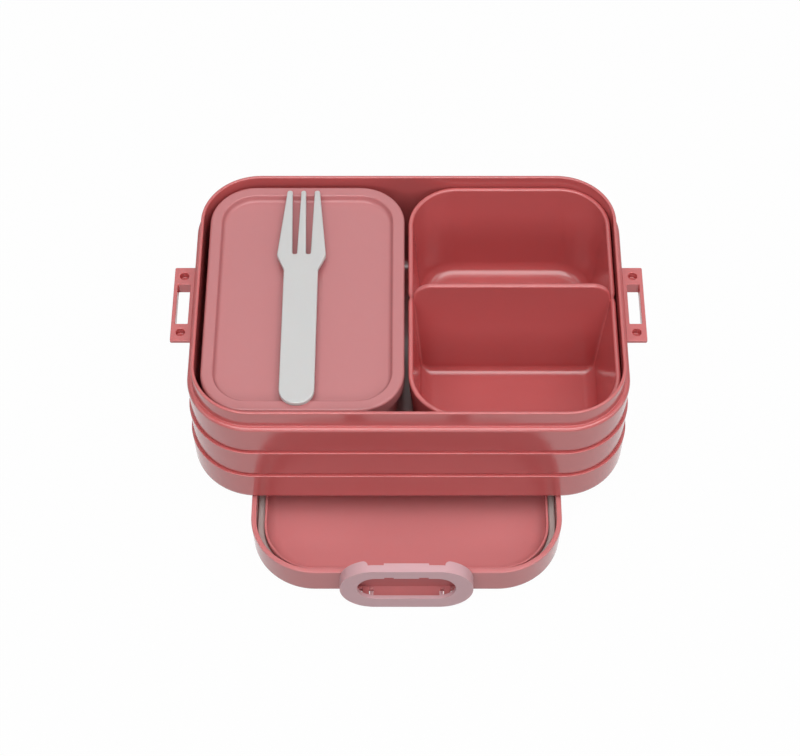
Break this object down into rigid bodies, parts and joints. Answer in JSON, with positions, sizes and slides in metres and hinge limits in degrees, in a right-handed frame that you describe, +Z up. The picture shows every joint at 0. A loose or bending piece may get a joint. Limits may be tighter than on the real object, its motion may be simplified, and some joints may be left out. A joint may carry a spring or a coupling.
{
  "type": "bento lunch box",
  "caption": "Lunch box with stepped walls and rounded corners, an upturned lid with a seal and ring clips beneath it, a lidded inner box, a divided tray and a fork.",
  "frame": {"origin": "on the outside face that the upturned main lid stands on, below the middle of the base's length and of the lid's length", "axes": "+X along the base's length to the divided tray's side, +Y from the near clip to the far clip, +Z up"},
  "size_m": [0.1834, 0.1814, 0.0733],
  "materials": {
    "base_plastic": "smooth moulded, soft gloss",
    "lid_plastic": "smooth moulded, soft gloss",
    "seal_rubber": "matt soft seal",
    "clip_plastic": "fine satin",
    "inner_plastic": "smooth moulded, soft gloss",
    "inner_lid_plastic": "satin",
    "tray_plastic": "smooth moulded, soft gloss",
    "fork_plastic": "fine satin"
  },
  "bodies": {
    "lid": {"main_lid": "lid_plastic", "lid_seal": "seal_rubber"},
    "front_clip": {"clip_front": "clip_plastic"},
    "back_clip": {"clip_back": "clip_plastic"},
    "base": {"base_box": "base_plastic"},
    "small_box": {"small_box": "inner_plastic"},
    "small_lid": {"small_box_lid": "inner_lid_plastic"},
    "tray": {"divided_tray": "tray_plastic"},
    "fork": {"fork": "fork_plastic"}
  },
  "joints": [
    {"name": "front_clip_hinge", "type": "hinge", "parent": "lid", "child": "front_clip", "pos_m": [-0.0008, -0.0877, 0.0028], "axis": [1, 0, 0], "range_deg": [0, 90]},
    {"name": "back_clip_hinge", "type": "hinge", "parent": "lid", "child": "back_clip", "pos_m": [-0.0008, 0.0877, 0.0028], "axis": [-1, 0, 0], "range_deg": [0, 90]},
    {"name": "base_lift", "type": "slide", "parent": "lid", "child": "base", "axis": [0, 0, 1], "range_m": [0, 0.08]},
    {"name": "small_box_lift", "type": "slide", "parent": "base", "child": "small_box", "axis": [0, 0, 1], "range_m": [0, 0.06]},
    {"name": "tray_lift", "type": "slide", "parent": "base", "child": "tray", "axis": [0, 0, 1], "range_m": [0, 0.06]},
    {"name": "small_lid_lift", "type": "slide", "parent": "small_box", "child": "small_lid", "axis": [0, 0, 1], "range_m": [0, 0.03]},
    {"name": "fork_lift", "type": "slide", "parent": "small_lid", "child": "fork", "axis": [0, 0, 1], "range_m": [0, 0.03]}
  ]
}
